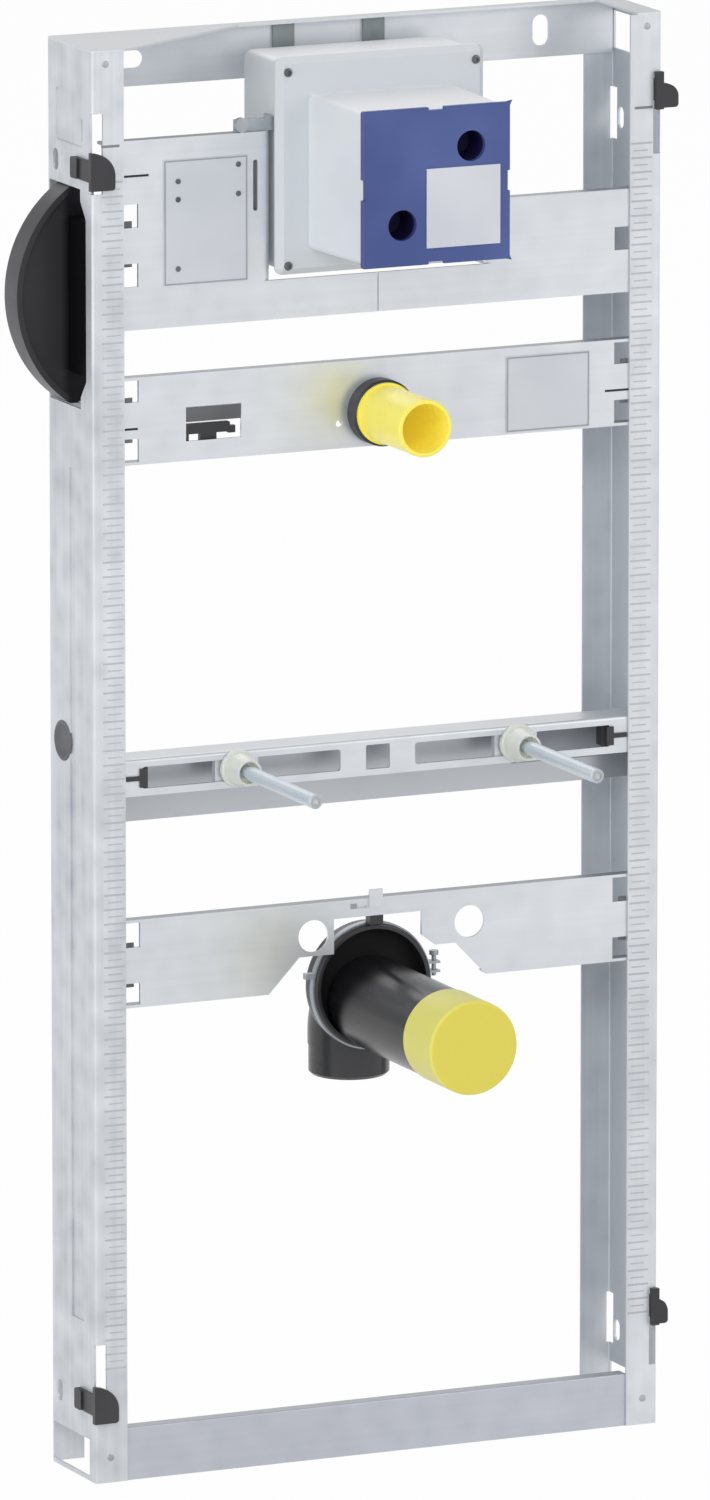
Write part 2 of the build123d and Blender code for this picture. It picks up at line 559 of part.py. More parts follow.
# Drain bend: upright leg, quarter turn, socket and a tab that hooks behind the plate
leg_y = front + leg_set
socket_axis_z = pipe_axis_z + socket_lift
elbow_z = pipe_axis_z + elbow_lift
turn_z = elbow_z - turn
socket_y0 = front + socket_set
socket_y1 = socket_y0 + socket_length
leg = rod_z(0, leg_y, leg_bottom_z, shoulder_z, leg_radius)
leg = chamfer(leg.edges().group_by(Axis.Z)[0], 2.0)
leg += rod_z(0, leg_y, shoulder_z, turn_z, leg_radius + shoulder_step)
elbow_face = Plane.XY.offset(turn_z) * Pos(0, leg_y) * Circle(leg_radius + shoulder_step)
elbow = revolve(elbow_face, axis=Axis((0, leg_y - turn, turn_z), (1, 0, 0)), revolution_arc=90)
socket = rod_y(0, socket_axis_z, socket_y0, socket_y1, socket_radius)
socket = fillet(socket.edges().group_by(Axis.Y)[-1], 6.0)
socket = fillet(socket.edges().group_by(Axis.Y)[0], 1.5)
seal_y1 = socket_y0 + seal_set + seal_thick
mouth_radius = socket_radius - socket_wall
socket -= rod_y(0, socket_axis_z, socket_y0 - cut, seal_y1, mouth_radius)
bend = leg + elbow + socket
hook_half, hook_up = 5.0, 12.0
hook_y1 = socket_y0 + band_set - seat_gap
hook_z0 = socket_axis_z + socket_radius - socket_wall + 1
bend += block(-hook_half, hook_half, carrier_y1, hook_y1, hook_z0 + 3, hook_z0 + hook_up)
bend += block(-hook_half, hook_half, socket_y0 + 1, hook_y1, hook_z0, hook_z0 + hook_up)
bend -= rod_z(0, leg_y, leg_bottom_z - cut, turn_z, leg_radius - pipe_wall)
bend -= rod_y(0, socket_axis_z, socket_y0 - cut, seal_y1, mouth_radius)
bend -= rod_y(0, pipe_axis_z, socket_y0 - cut, socket_y0 + pipe_depth, pipe_radius)
keep("drain_bend", bend)

# Seal deep in the socket mouth, pipe and end cap
seal = rod_y(0, socket_axis_z, socket_y0 + seal_set, seal_y1, mouth_radius)
seal -= rod_y(0, pipe_axis_z, socket_y0 + seal_set - cut, seal_y1 + cut, pipe_radius)
keep("drain_seal", seal)
cap_y0 = front - cap_reach
cap_y1 = cap_y0 + cap_length
pipe_y1 = socket_y0 + pipe_depth
pipe_bore = pipe_radius - pipe_wall
pipe = turned_y(0, pipe_axis_z, [
    (pipe_bore, cap_y0 + cap_wall),
    (pipe_radius, cap_y0 + cap_wall),
    (pipe_radius, pipe_y1),
    (pipe_bore, pipe_y1),
])
keep("drain_pipe", pipe)
cap = turned_y(0, pipe_axis_z, [
    (0, cap_y0),
    (cap_radius, cap_y0),
    (cap_radius, cap_y1),
    (pipe_radius, cap_y1),
    (pipe_radius, cap_y0 + cap_wall),
    (0, cap_y0 + cap_wall),
])
cap = fillet(cap.edges().group_by(Axis.Y)[0], 2.0)
keep("drain_cap", cap)

# Thin clamp band round the socket with a pinch lug at each side
band_y0 = socket_y0 + band_set
band_y1 = band_y0 + band_length
band_radius = socket_radius + band_thick
band = rod_y(0, socket_axis_z, band_y0, band_y1, band_radius)
lug_z = socket_axis_z + band_lug_up
lug_half = band_radius + band_lug
for z0 in (lug_z, lug_z - 4 * band_lug_thick):
    band += block(0, lug_half, band_y0, band_y1 + 3, z0, z0 + band_lug_thick)
band += block(-lug_half + 2, 0, band_y0, band_y1, lug_z - 3, lug_z + 1)
band -= rod_y(0, socket_axis_z, band_y0 - cut, band_y1 + 4, socket_radius)
keep("drain_clamp", band)

# Valve box: rear case, bevelled flange and a drafted tower, hollow to the front
flange_y1 = box_flange_front + box_flange_thick
case_y1 = flange_y1 + box_rear_depth
flange = block(-box_half_x, box_half_x, box_flange_front, flange_y1, box_low, box_high)
flange = fillet(flange.edges().filter_by(Axis.Y), 5.0)
flange = chamfer(flange.edges().group_by(Axis.Y)[0], 4.5)
case = block(-case_half, case_half, flange_y1, case_y1, box_low + case_inset, box_high - case_inset)
case = fillet(case.edges().filter_by(Axis.Y), 6.0)
tower_base = Plane.XZ.offset(-box_flange_front) * Pos(0, box_centre_z)
tower_tip = Plane.XZ.offset(-tower_front) * Pos(0, box_centre_z)
base_x, base_z = 2 * (tower_half_x + tower_draft), 2 * (tower_half_z + tower_draft)
base_sketch = tower_base * RectangleRounded(base_x, base_z, 5)
tip_sketch = tower_tip * RectangleRounded(2 * tower_half_x, 2 * tower_half_z, 4)
valve_box = flange + case + loft([base_sketch, tip_sketch])
bore_x, bore_z = tower_half_x - box_wall, tower_half_z - box_wall
inside_y1 = case_y1 - box_wall
bore_z0, bore_z1 = box_centre_z - bore_z, box_centre_z + bore_z
valve_box -= block(-bore_x, bore_x, tower_front - cut, inside_y1, bore_z0, bore_z1)
room_x, room_in = case_half - box_wall, case_inset + box_wall
valve_box -= block(-room_x, room_x, flange_y1, inside_y1, box_low + room_in, box_high - room_in)
keep("valve_box", valve_box)

# Cover with finger holes and edge notches
cover_y0 = tower_front - cover_thick
cover_z0, cover_z1 = box_centre_z - cover_half_z, box_centre_z + cover_half_z
side_notch, top_notch, notch_deep = 7.0, 6.0, 2.0
cover = block(-cover_half_x, cover_half_x, cover_y0, tower_front, cover_z0, cover_z1)
cover = fillet(cover.edges().filter_by(Axis.Y), 1.5)
cover = chamfer(cover.edges().group_by(Axis.Y)[0], 0.8)
cover_cut_y0, cover_cut_y1 = cover_y0 - cut, tower_front + cut
for side in (-1, 1):
    hole_x, hole_z = side * finger_hole_offset, box_centre_z + side * finger_hole_offset
    cover -= rod_y(hole_x, hole_z, cover_cut_y0, cover_cut_y1, finger_hole_radius)
    x0, x1 = sorted((side * (cover_half_x - notch_deep), side * (cover_half_x + cut)))
    cover -= block(x0, x1, cover_cut_y0, cover_cut_y1, box_centre_z - side_notch, box_centre_z + side_notch)
    z0, z1 = sorted((side * (cover_half_z - notch_deep), side * (cover_half_z + cut)))
    cover -= block(-top_notch, top_notch, cover_cut_y0, cover_cut_y1, box_centre_z + z0, box_centre_z + z1)
# small flared ears at the right corners
for side in (-1, 1):
    corner_z = box_centre_z + side * cover_half_z
    flare_x0, flare_x1 = cover_half_x - 3, cover_half_x + 1.6
    flare = [(flare_x0, corner_z), (flare_x1, corner_z + side), (flare_x0, corner_z - side * 8)]
    cover += plate(flare, cover_y0 + 0.8, cover_y0 + 3)
keep("box_cover", cover)
sticker_wide, sticker_tall, sticker_edge, sticker_up = 54.5, 54.0, 7.9, 11.3
sticker_x1 = cover_half_x - sticker_edge
sticker_z0 = cover_z0 + sticker_up
sticker_y0 = cover_y0 - label_thick
sticker_x0, sticker_z1 = sticker_x1 - sticker_wide, sticker_z0 + sticker_tall
keep("cover_label", block(sticker_x0, sticker_x1, sticker_y0, cover_y0, sticker_z0, sticker_z1))

# Straps that hang the box from the top rail
strap_half, strap_left_x, strap_right_x, strap_drop, strap_foot = 8.0, -39.0, 28.5, 17.0, 18.0
strap_z = box_high - strap_drop
for word, x in (("left", strap_left_x), ("right", strap_right_x)):
    x0, x1 = x - strap_half, x + strap_half
    strap = block(x0, x1, wall_y0 - plate_sheet, wall_y0, strap_z - plate_sheet, post_height)
    strap += block(x0, x1, case_y1, wall_y0, strap_z - plate_sheet, strap_z)
    strap += block(x0, x1, case_y1, case_y1 + plate_sheet, strap_z - strap_foot, strap_z)
    keep("box_strap_" + word, strap)


# Ear of a latch: quarter oval above a middle line, square below it with a rounded corner
def latch_ear(wide, low, middle, high):
    oval = Pos(0, middle) * Ellipse(wide, high - middle)
    oval &= Pos(wide / 2, (middle + high) / 2) * Rectangle(wide, high - middle)
    ear = oval + Pos(wide / 2, (low + middle) / 2) * Rectangle(wide, middle - low)
    return fillet(ear.vertices().group_by(Axis.X)[-1].sort_by(Axis.Y)[0], 2.5)


# Left latch: ear over the flange, neck through the slot, foot along the outer web
def left_latch(z):
    x0 = -half_width - latch_skin
    ear = latch_ear(latch_reach + latch_skin, -latch_half, -latch_half / 4, latch_half)
    body = extrude(Plane.XZ.offset(-front) * Pos(x0, z) * ear, amount=latch_thick, dir=(0, -1, 0))
    low, high = z - latch_neck, z + latch_neck
    body += block(-half_width + 2, -half_width + 4.2, front - 1, front + latch_neck_deep, low, high)
    pad_y0 = front + latch_pad_start
    body += block(x0, -half_width, front - 1, pad_y0 + 1, low, high)
    pad = block(-half_width - latch_pad_thick, -half_width, pad_y0, pad_y0 + latch_pad_long, low, high)
    return body + fillet(pad.edges().filter_by(Axis.X), 2.0)


# Right latch: strip before the slot with its ear turned outwards, neck through the slot
def right_latch(z, reach):
    x0 = half_width - latch_strip
    strip = Pos(latch_strip / 2, 0) * Rectangle(latch_strip, 2 * latch_half)
    ear = latch_ear(reach, -latch_half + 1, -latch_half / 3, latch_half - latch_drop_in)
    outline = strip + Pos(latch_strip - 0.5, 0) * ear
    body = extrude(Plane.XZ.offset(-front) * Pos(x0, z) * outline, amount=latch_thick, dir=(0, -1, 0))
    neck_x1 = half_width - 2.2
    return body + block(x0, neck_x1, front - 1, front + latch_neck_deep, z - latch_neck, z + latch_neck)


latch_low, latch_step, latch_drop = 55.5, 28.0, 82.0
keep("latch_top_left", left_latch(frame_height - latch_drop))
keep("latch_bottom_left", left_latch(latch_low))
keep("latch_top_right", right_latch(frame_height - latch_drop + latch_step, latch_out_top))
keep("latch_bottom_right", right_latch(latch_low + latch_step, latch_out_low))

# Half-round guard: rim, recessed face, inner boss behind the window and a foot on the back flange
guard_x = -half_width + guard_centre_in
guard_in = -inner_edge - 3.0
guard_y0, guard_y1 = front + guard_front, front + guard_front + guard_deep
trim = guard_window_half - 1.0
disc = rod_y(guard_x, guard_z, guard_y0, guard_y1, guard_radius)
face_pocket = rod_y(guard_x, guard_z, guard_y0 - cut, guard_y0 + 5, guard_radius - guard_skin - 1)
shell = rod_y(guard_x, guard_z, guard_y0 + 8, guard_y1 + cut, guard_radius - guard_skin)
half_x0, half_z0, half_z1 = guard_x - 2 * guard_radius, guard_z - trim, guard_z + trim
half = block(half_x0, guard_in, guard_y0 - cut, guard_y1 + cut, half_z0, half_z1)
guard = (disc - face_pocket - shell) & half
boss_x0 = -half_width + sheet + 0.5
boss_z0, boss_z1 = guard_z - guard_boss_half, guard_z + guard_boss_half
guard += block(boss_x0, guard_in, front + guard_boss_front, guard_y0 + 6, boss_z0, boss_z1)
guard += block(boss_x0 + 3, guard_in, guard_y0 + 5, back - sheet, boss_z0 + 9, boss_z1 - 9)
keep("side_guard", guard)
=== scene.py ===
import bpy, math
import numpy as np
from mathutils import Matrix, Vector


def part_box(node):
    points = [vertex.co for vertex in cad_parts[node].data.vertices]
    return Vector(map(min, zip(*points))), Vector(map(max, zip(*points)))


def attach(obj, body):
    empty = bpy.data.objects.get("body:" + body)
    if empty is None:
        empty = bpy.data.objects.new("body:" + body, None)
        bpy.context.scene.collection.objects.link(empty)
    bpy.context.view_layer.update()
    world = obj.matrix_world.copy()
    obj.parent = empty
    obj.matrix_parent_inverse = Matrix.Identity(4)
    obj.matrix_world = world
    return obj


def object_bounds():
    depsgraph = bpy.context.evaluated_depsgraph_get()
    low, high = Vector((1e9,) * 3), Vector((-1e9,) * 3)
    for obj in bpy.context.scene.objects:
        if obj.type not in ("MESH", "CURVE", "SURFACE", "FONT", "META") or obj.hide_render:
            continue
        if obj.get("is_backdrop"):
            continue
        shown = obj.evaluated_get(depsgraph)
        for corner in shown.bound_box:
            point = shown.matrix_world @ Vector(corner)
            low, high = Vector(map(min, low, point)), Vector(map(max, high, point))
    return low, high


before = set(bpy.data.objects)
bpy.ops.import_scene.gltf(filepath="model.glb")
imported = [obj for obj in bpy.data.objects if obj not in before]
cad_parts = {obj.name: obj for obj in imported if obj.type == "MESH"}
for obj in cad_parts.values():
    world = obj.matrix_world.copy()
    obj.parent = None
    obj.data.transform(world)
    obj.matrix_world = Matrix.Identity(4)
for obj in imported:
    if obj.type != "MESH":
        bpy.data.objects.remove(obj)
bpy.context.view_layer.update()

scene = bpy.context.scene
mm = 0.001
towerReach = 84 * mm                      # how far the valve box tower stands in front of its flange
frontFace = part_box("left_post")[0].y      # front plane of both posts
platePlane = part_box("inlet_plate")[0].y   # front of the cross plates
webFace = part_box("left_post")[0].x        # outer face of the left web
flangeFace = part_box("valve_box")[0].y + towerReach
up, toLeft, toRight, toFront, toBack = (0, 0, 1), (-1, 0, 0), (1, 0, 0), (0, -1, 0), (0, 1, 0)
print("frame loaded,", len(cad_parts), "nodes")


# colours are noted as they look on screen, shaders want them linear
def screen(r, g, b):
    c = np.array([r, g, b]) / 255
    c = np.where(c <= 0.04045, c / 12.92, ((c + 0.055) / 1.055) ** 2.4)
    return (float(c[0]), float(c[1]), float(c[2]), 1.0)


def addNode(tree, kind, **settings):
    node = tree.nodes.new(kind)
    for label, value in settings.items():
        setattr(node, label, value)
    return node


# the scale is a number or a group's own socket
def addNoise(tree, where, scale, detail):
    noise = addNode(tree, "ShaderNodeTexNoise")
    noise.inputs["Detail"].default_value = detail
    tree.links.new(where, noise.inputs["Vector"])
    if isinstance(scale, int):
        noise.inputs["Scale"].default_value = scale
    else:
        tree.links.new(scale, noise.inputs["Scale"])
    return noise.outputs["Fac"]


def addRamp(tree, value, ends, results=(0, 1)):
    ramp = addNode(tree, "ShaderNodeMapRange")
    for label, number in zip(("From Min", "From Max", "To Min", "To Max"), (*ends, *results)):
        ramp.inputs[label].default_value = number
    tree.links.new(value, ramp.inputs["Value"])
    return ramp.outputs["Result"]


def socketGroup(name, inputs, outputs):
    group = bpy.data.node_groups.new(name, "ShaderNodeTree")
    for label, kind, start in inputs:
        socket = group.interface.new_socket(label, in_out="INPUT", socket_type=kind)
        socket.default_value = start
    for label in outputs:
        group.interface.new_socket(label, in_out="OUTPUT", socket_type="NodeSocketFloat")
    return group, addNode(group, "NodeGroupInput").outputs, addNode(group, "NodeGroupOutput").inputs


# rolled zinc: streaks stretched along one axis, a spangle bloom and slow clouds, mixed to one tone
zincSkin = {"streakScale": 220, "streakDetail": 3, "cloudScale": 7, "cloudDetail": 4, "cloudShare": 0.45}


def rolledZincGroup():
    inputs = [("Stretch", "NodeSocketVector", (1, 1, 1)), ("Bloom", "NodeSocketFloat", 60.0),
              ("Streak", "NodeSocketFloat", 0.5)]
    group, given, out = socketGroup("rolledZinc", inputs, ["Tone", "Height", "Marks"])
    link = group.links.new
    place = addNode(group, "ShaderNodeTexCoord").outputs["Object"]
    scaled = addNode(group, "ShaderNodeVectorMath", operation="MULTIPLY")
    link(place, scaled.inputs[0])
    link(given["Stretch"], scaled.inputs[1])
    streak = addNoise(group, scaled.outputs[0], zincSkin["streakScale"], zincSkin["streakDetail"])
    bloom = addNode(group, "ShaderNodeTexVoronoi", feature="SMOOTH_F1")
    link(place, bloom.inputs["Vector"])
    link(given["Bloom"], bloom.inputs["Scale"])
    cloud = addNoise(group, place, zincSkin["cloudScale"], zincSkin["cloudDetail"])
    metal = addNode(group, "ShaderNodeMix", data_type="FLOAT")
    link(given["Streak"], metal.inputs["Factor"])
    link(bloom.outputs["Distance"], metal.inputs["A"])
    link(streak, metal.inputs["B"])
    tone = addNode(group, "ShaderNodeMix", data_type="FLOAT")
    tone.inputs["Factor"].default_value = zincSkin["cloudShare"]
    link(metal.outputs["Result"], tone.inputs["A"])
    link(cloud, tone.inputs["B"])
    link(tone.outputs["Result"], out["Tone"])
    link(streak, out["Height"])
    link(cloud, out["Marks"])
    return group


# mould skin: a slow drift for tone, fine mould texture for height, soft handling marks for gloss
mouldSkin = {"driftDetail": 2, "grainDetail": 3, "marksDetail": 5, "marksScale": 38}


def mouldSkinGroup():
    inputs = [("Grain", "NodeSocketFloat", 900.0), ("Drift", "NodeSocketFloat", 14.0)]
    group, given, out = socketGroup("mouldSkin", inputs, ["Tone", "Height", "Marks"])
    link = group.links.new
    place = addNode(group, "ShaderNodeTexCoord").outputs["Object"]
    link(addNoise(group, place, given["Drift"], mouldSkin["driftDetail"]), out["Tone"])
    link(addNoise(group, place, given["Grain"], mouldSkin["grainDetail"]), out["Height"])
    link(addNoise(group, place, mouldSkin["marksScale"], mouldSkin["marksDetail"]), out["Marks"])
    return group


# a mask from a vector: how far it reaches along a direction, ramped from nothing at Start to one at Full
def reachGroup(name, nodeKind, output, direction, start, full):
    inputs = [("Direction", "NodeSocketVector", direction), ("Start", "NodeSocketFloat", start),
              ("Full", "NodeSocketFloat", full)]
    group, given, out = socketGroup(name, inputs, ["Mask"])
    link = group.links.new
    reach = addNode(group, "ShaderNodeVectorMath", operation="DOT_PRODUCT")
    link(addNode(group, nodeKind).outputs[output], reach.inputs[0])
    link(given["Direction"], reach.inputs[1])
    ramp = addNode(group, "ShaderNodeMapRange")
    link(reach.outputs["Value"], ramp.inputs["Value"])
    link(given["Start"], ramp.inputs["From Min"])
    link(given["Full"], ramp.inputs["From Max"])
    link(ramp.outputs["Result"], out["Mask"])
    return group


skins = {"rolled": rolledZincGroup(), "mould": mouldSkinGroup()}
# side masks the faces that look along a direction, beyond masks what lies past a distance along it
masks = {"side": reachGroup("facing", "ShaderNodeNewGeometry", "Normal", up, start=0.6, full=0.9),
         "beyond": reachGroup("beyond", "ShaderNodeTexCoord", "Object", toBack, start=0.0, full=0.01)}
finishBasics = {"noiseRange": (0.3, 0.7), "bumpDistance": 0.2 * mm}


# one finish: tone mixes two colours, marks swing the roughness, height drives a bump
def makeFinish(name, spec):
    material = bpy.data.materials.new(name)
    material.use_nodes = True
    tree = material.node_tree
    link = tree.links.new
    shader = tree.nodes["Principled BSDF"].inputs
    skin = addNode(tree, "ShaderNodeGroup", node_tree=skins[spec["skin"]])
    for label, value in spec.get("skinValues", {}).items():
        skin.inputs[label].default_value = value
    tone = addNode(tree, "ShaderNodeMix", data_type="RGBA")
    tone.inputs["A"].default_value = screen(*spec["dark"])
    tone.inputs["B"].default_value = screen(*spec["light"])
    toneRange = spec.get("toneRange", finishBasics["noiseRange"])
    link(addRamp(tree, skin.outputs["Tone"], toneRange), tone.inputs["Factor"])
    # masked faces wear another colour, mostly painted shade and painted light set by which way a face looks
    # or how deep it lies; the later key lies on top
    for key in [k for k in spec if k in masks]:
        mask = addNode(tree, "ShaderNodeGroup", node_tree=masks[key])
        for label, value in spec[key]["mask"].items():
            mask.inputs[label].default_value = value
        over = addNode(tree, "ShaderNodeMix", data_type="RGBA")
        over.inputs["B"].default_value = screen(*spec[key]["colour"])
        link(mask.outputs["Mask"], over.inputs["Factor"])
        link(tone.outputs["Result"], over.inputs["A"])
        tone = over
    link(tone.outputs["Result"], shader["Base Color"])
    link(addRamp(tree, skin.outputs["Marks"], finishBasics["noiseRange"], spec["rough"]), shader["Roughness"])
    bump = addNode(tree, "ShaderNodeBump")
    bump.inputs["Strength"].default_value = spec["bump"]
    bump.inputs["Distance"].default_value = finishBasics["bumpDistance"]
    link(skin.outputs["Height"], bump.inputs["Height"])
    link(bump.outputs["Normal"], shader["Normal"])
    for label, value in spec.get("shader", {}).items():
        shader[label].default_value = value
    return material


def looking(direction, *colour):
    return {"mask": {"Direction": direction}, "colour": colour}


def past(direction, start, full, *colour):
    return {"mask": {"Direction": direction, "Start": start, "Full": full}, "colour": colour}


# sheet steel: streaks run up the posts and along the rails
postSheet = {"skin": "rolled", "light": (236, 239, 242), "rough": (0.38, 0.5), "bump": 0.08,
             "skinValues": {"Stretch": (1, 1, 0.02), "Streak": 0.45}, "shader": {"Metallic": 0.45}}
crossSheet = {"skin": "rolled", "toneRange": (0.2, 0.8), "bump": 0.05,
              "skinValues": {"Stretch": (0.02, 1, 1), "Streak": 0.45}}
plateSheet = {**crossSheet, "dark": (206, 211, 217), "light": (229, 232, 236), "rough": (0.28, 0.4),
              "shader": {"Metallic": 0.65}}
railSheet = {**crossSheet, "rough": (0.34, 0.46), "shader": {"Metallic": 0.5}}
finishes = {
    "zincAlongPost": {**postSheet, "dark": (188, 193, 200), "toneRange": (0.25, 0.72)},
    # right post: faces looking left, its inner web, are painted darker: painted shade
    "zincRight": {**postSheet, "dark": (198, 203, 210), "toneRange": (0.2, 0.8),
                  "side": looking(toLeft, 196, 201, 208)},
    # plates and carriers: upward faces such as the top lips are painted dark grey: painted shade
    "zincAcross": {**plateSheet, "side": looking(up, 146, 150, 155)},
    # stud rail: surfaces lying deeper back than 8 to 12 mm are painted darker, painted shade inside the
    # channel; upward faces a little darker, painted shade
    "zincStud": {**plateSheet, "beyond": past(toBack, 8 * mm, 12 * mm, 190, 194, 199),
                 "side": looking(up, 206, 209, 213)},
    # top rail: upward faces are painted darker: painted shade
    "zincTop": {**railSheet, "dark": (208, 213, 219), "light": (231, 234, 238),
                "side": looking(up, 184, 187, 190)},
    # bottom rail: upward faces are painted darker: painted shade
    "zincLow": {**railSheet, "dark": (183, 187, 197), "light": (205, 208, 217),
                "side": looking(up, 170, 174, 180)},
    "zincSmall": {"skin": "rolled", "dark": (150, 156, 163), "light": (190, 195, 200), "rough": (0.35, 0.5),
                  "bump": 0.06, "skinValues": {"Streak": 0.3}, "shader": {"Metallic": 0.6}},
    "strapGrey": {"skin": "rolled", "dark": (128, 136, 138), "light": (156, 163, 165), "rough": (0.4, 0.55),
                  "bump": 0.06, "skinValues": {"Streak": 0.3}, "shader": {"Metallic": 0.5}},
    "coatedRod": {"skin": "rolled", "dark": (192, 205, 215), "light": (218, 227, 234), "rough": (0.3, 0.42),
                  "bump": 0.03, "skinValues": {"Stretch": (1, 0.05, 1), "Streak": 0.7},
                  "side": looking(toFront, 176, 182, 187), "shader": {"Metallic": 0.15, "Coat Weight": 0.3}},
    "screwDark": {"skin": "rolled", "dark": (84, 88, 92), "light": (118, 122, 126), "rough": (0.3, 0.45),
                  "bump": 0.05, "skinValues": {"Streak": 0.2}, "shader": {"Metallic": 0.7}},
    "castBrass": {"skin": "mould", "dark": (176, 142, 78), "light": (204, 172, 104), "rough": (0.35, 0.5),
                  "bump": 0.2, "shader": {"Metallic": 0.9}},
    "blackMoulding": {"skin": "mould", "dark": (38, 38, 42), "light": (58, 58, 62), "rough": (0.38, 0.5),
                      "bump": 0.12},
    "blackPipe": {"skin": "mould", "dark": (40, 40, 43), "light": (54, 54, 57), "rough": (0.2, 0.3),
                  "bump": 0.04},
    "pipeStreaks": {"skin": "rolled", "dark": (5, 5, 7), "light": (34, 33, 37), "rough": (0.16, 0.3),
                    "bump": 0.04, "skinValues": {"Stretch": (1, 0.04, 1), "Streak": 0.8},
                    "shader": {"Specular IOR Level": 0.35}},
    # guard: front faces are painted darker, painted shade; from the outer web face rightwards it is painted
    # near black, painted shadow inside the post's window
    "guardBlack": {"skin": "mould", "dark": (70, 69, 73), "light": (88, 87, 92), "rough": (0.34, 0.46),
                   "bump": 0.1, "side": looking(toFront, 52, 51, 55),
                   "beyond": past(toRight, webFace - 4 * mm, webFace + 2 * mm, 5, 3, 6),
                   "shader": {"Specular IOR Level": 0.3}},
    "sealRubber": {"skin": "mould", "dark": (6, 6, 7), "light": (12, 12, 13), "rough": (0.6, 0.75),
                   "bump": 0.15, "shader": {"Specular IOR Level": 0.2}},
    # box: the flange and everything behind its front are painted a shade darker, painted shade; upward faces
    # are painted lighter, painted light
    "boxPlastic": {"skin": "mould", "dark": (229, 234, 239), "light": (241, 245, 249), "rough": (0.42, 0.52),
                   "bump": 0.08,
                   "beyond": past(toBack, flangeFace - 1.5 * mm, flangeFace - 0.3 * mm, 216, 221, 226),
                   "side": looking(up, 246, 248, 251)},
    "coverBlue": {"skin": "mould", "dark": (62, 80, 142), "light": (78, 96, 156), "rough": (0.42, 0.55),
                  "bump": 0.1},
    "cupBlue": {"skin": "mould", "dark": (20, 16, 62), "light": (30, 26, 80), "rough": (0.5, 0.6),
                "bump": 0.1},
    "paleSheet": {"skin": "mould", "dark": (208, 212, 220), "light": (220, 223, 229), "rough": (0.42, 0.52),
                  "bump": 0.05},
    "labelPaper": {"skin": "mould", "dark": (211, 214, 223), "light": (222, 225, 232), "rough": (0.5, 0.6),
                   "bump": 0.05},
    # translucent mouldings: light spreads a few millimetres; the open plug also glows faintly, painted light
    # that brightens its inside as if lit through its walls
    "plugYellow": {"skin": "mould", "dark": (255, 237, 90), "light": (255, 245, 110), "rough": (0.24, 0.34),
                   "bump": 0.04,
                   "shader": {"Subsurface Weight": 0.3, "Subsurface Scale": 1.0,
                              "Subsurface Radius": (4 * mm, 3.5 * mm, 1 * mm),
                              "Emission Color": screen(255, 232, 110), "Emission Strength": 0.09}},
    "capYellow": {"skin": "mould", "dark": (250, 238, 108), "light": (255, 245, 124), "rough": (0.3, 0.4),
                  "bump": 0.04, "side": looking(toFront, 239, 224, 92),
                  "shader": {"Subsurface Weight": 0.4, "Subsurface Scale": 1.0,
                             "Subsurface Radius": (5 * mm, 4.5 * mm, 1.5 * mm)}},
    "milkySleeve": {"skin": "mould", "dark": (226, 231, 221), "light": (237, 241, 231), "rough": (0.25, 0.35),
                    "bump": 0.03,
                    "shader": {"Subsurface Weight": 0.7, "Subsurface Scale": 1.0,
                               "Subsurface Radius": (8 * mm, 8 * mm, 6 * mm)}},
    "scaleInk": {"skin": "mould", "dark": (186, 189, 195), "light": (199, 202, 207), "rough": (0.5, 0.6),
                 "bump": 0.02},
    "scaleInkBold": {"skin": "mould", "dark": (124, 127, 132), "light": (142, 145, 150), "rough": (0.5, 0.6),
                     "bump": 0.02},
    "borderGrey": {"skin": "mould", "dark": (150, 154, 162), "light": (170, 174, 181), "rough": (0.45, 0.55),
                   "bump": 0.03},
    "shadeGrey": {"skin": "mould", "dark": (84, 86, 90), "light": (112, 114, 118), "rough": (0.5, 0.62),
                  "bump": 0.04},
    "slitShade": {"skin": "mould", "dark": (34, 36, 40), "light": (50, 52, 56), "rough": (0.6, 0.75),
                  "bump": 0.02},
}
paint = {name: makeFinish(name, spec) for name, spec in finishes.items()}
print("finishes made,", len(paint))

# which finish each CAD node wears
dress = {
    "zincAlongPost": ["left_post"],
    "zincRight": ["right_post"],
    "zincTop": ["top_rail"],
    "zincLow": ["bottom_rail"],
    "zincAcross": ["carrier_left", "carrier_right", "inlet_plate", "drain_plate"],
    "zincStud": ["stud_rail", "stud_anchor_left", "stud_anchor_right"],
    "zincSmall": ["box_tie", "drain_clamp"],
    "strapGrey": ["box_strap_left", "box_strap_right"],
    "coatedRod": ["stud_left", "stud_right"],
    "blackMoulding": ["inlet_clip", "rail_clip_left", "rail_clip_right", "inlet_collar", "latch_top_left",
                      "latch_bottom_left", "latch_top_right", "latch_bottom_right"],
    "guardBlack": ["side_guard"],
    "blackPipe": ["drain_bend"],
    "pipeStreaks": ["drain_pipe"],
    "sealRubber": ["drain_seal"],
    "boxPlastic": ["valve_box"],
    "coverBlue": ["box_cover"],
    "paleSheet": ["ear_plate", "inlet_label_plate"],
    "labelPaper": ["cover_label"],
    "plugYellow": ["inlet_plug"],
    "capYellow": ["drain_cap"],
    "milkySleeve": ["stud_sleeve_left", "stud_sleeve_right"],
    "castBrass": ["inlet_body"],
}
for finish, nodes in dress.items():
    for node in nodes:
        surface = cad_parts[node].data.materials
        surface.clear()
        surface.append(paint[finish])
print("nodes dressed,", sum(len(v) for v in dress.values()))


def putPiece(name, shape, finish, smooth=False):
    verts, faces = shape
    mesh = bpy.data.meshes.new(name)
    mesh.from_pydata(verts.tolist(), [], [list(f) for f in faces])
    mesh.materials.append(paint[finish])
    if smooth:
        mesh.shade_smooth()
    mesh.update()
    ob = bpy.data.objects.new(name, mesh)
    scene.collection.objects.link(ob)
    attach(ob, "root")


